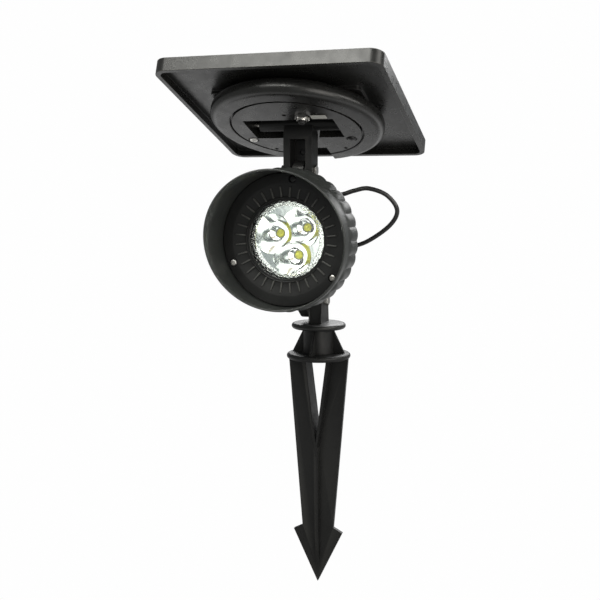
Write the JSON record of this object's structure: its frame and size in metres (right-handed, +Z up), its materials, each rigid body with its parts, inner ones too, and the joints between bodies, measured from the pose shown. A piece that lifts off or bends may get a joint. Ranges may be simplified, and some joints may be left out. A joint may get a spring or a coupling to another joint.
{
  "type": "solar garden light",
  "caption": "Solar garden spotlight on a ground spike, with a hooded tilting lamp, a hinged arm and an adjustable solar panel with a battery box.",
  "frame": {"origin": "centre of the flat underside of the ground spike's lower disc, where it rests on the soil", "axes": "+Z up along the post, -Y the way the lamp shines, X along the pivot bolts"},
  "size_m": [0.156, 0.1503, 0.3974],
  "materials": {
    "black_plastic": "fine satin texture, injection moulded",
    "satin_black_plastic": "satin, injection moulded",
    "bright_steel": "zinc plated",
    "chrome_reflector": "vacuum metallised, mirror bright",
    "clear_lens": "clear polycarbonate, polished",
    "solar_glass": "clear tempered glass, polished",
    "black_rubber": "matt rubber",
    "led_phosphor": "yellow phosphor resin",
    "circuit_board": "white solder mask",
    "solar_cells": "dark blue cells under film",
    "battery_wrap": "shrink sleeve",
    "label": "plain pale sticker, no print",
    "cable_jacket": "soft black jacket"
  },
  "bodies": {
    "spike": {"ground_spike": "black_plastic"},
    "post": {"post": "black_plastic", "lower_pivot_bolt": "bright_steel", "lower_pivot_nut": "bright_steel", "lower_pivot_washer": "bright_steel"},
    "lamp": {"lamp_housing": "black_plastic", "lamp_hood": "satin_black_plastic", "bezel": "black_plastic", "bezel_screw_1": "bright_steel", "bezel_screw_2": "bright_steel", "bezel_screw_3": "bright_steel", "lens": "clear_lens", "lens_gasket": "black_rubber", "reflector": "chrome_reflector", "led_1": "led_phosphor", "led_2": "led_phosphor", "led_3": "led_phosphor", "led_board": "circuit_board", "lamp_gland": "black_rubber", "lamp_cable": "cable_jacket"},
    "arm": {"panel_arm": "black_plastic", "arm_gland": "black_rubber", "upper_pivot_bolt": "bright_steel", "upper_pivot_nut": "bright_steel", "fork_spacer_left": "black_rubber", "fork_spacer_right": "black_rubber"},
    "panel": {"panel_tray": "satin_black_plastic", "solar_cells": "solar_cells", "solar_glass": "solar_glass", "battery_box": "satin_black_plastic", "battery_cover": "satin_black_plastic", "cover_seal": "black_rubber", "hinge_pin": "bright_steel", "cover_screw_left": "bright_steel", "cover_screw_right": "bright_steel", "battery_pack": "battery_wrap", "circuit_board": "circuit_board", "charge_chip": "black_plastic", "power_switch": "black_plastic", "switch_nut": "bright_steel", "switch_label": "label"},
    "button": {"push_button": "black_rubber"}
  },
  "joints": [
    {"name": "post_swivel", "type": "hinge", "parent": "spike", "child": "post", "pos_m": [0, 0, 0.0235], "axis": [0, 0, 1], "continuous": true},
    {"name": "lamp_tilt", "type": "hinge", "parent": "post", "child": "lamp", "pos_m": [0, 0, 0.0454], "axis": [-1, 0, 0], "range_deg": [-25, 60]},
    {"name": "arm_tilt", "type": "hinge", "parent": "lamp", "child": "arm", "pos_m": [0, -0.0445, 0.144], "axis": [-1, 0, 0], "range_deg": [-15, 35], "deforming": ["lamp_cable"]},
    {"name": "panel_tilt", "type": "hinge", "parent": "arm", "child": "panel", "pos_m": [0, -0.0445, 0.1769], "axis": [-1, 0, 0], "range_deg": [-20, 25]},
    {"name": "button_press", "type": "slide", "parent": "panel", "child": "button", "axis": [0, 0.3322, 0.9432], "range_m": [0, 0.0012], "stiffness_N_per_m": 400, "springref_m": -0.001}
  ]
}
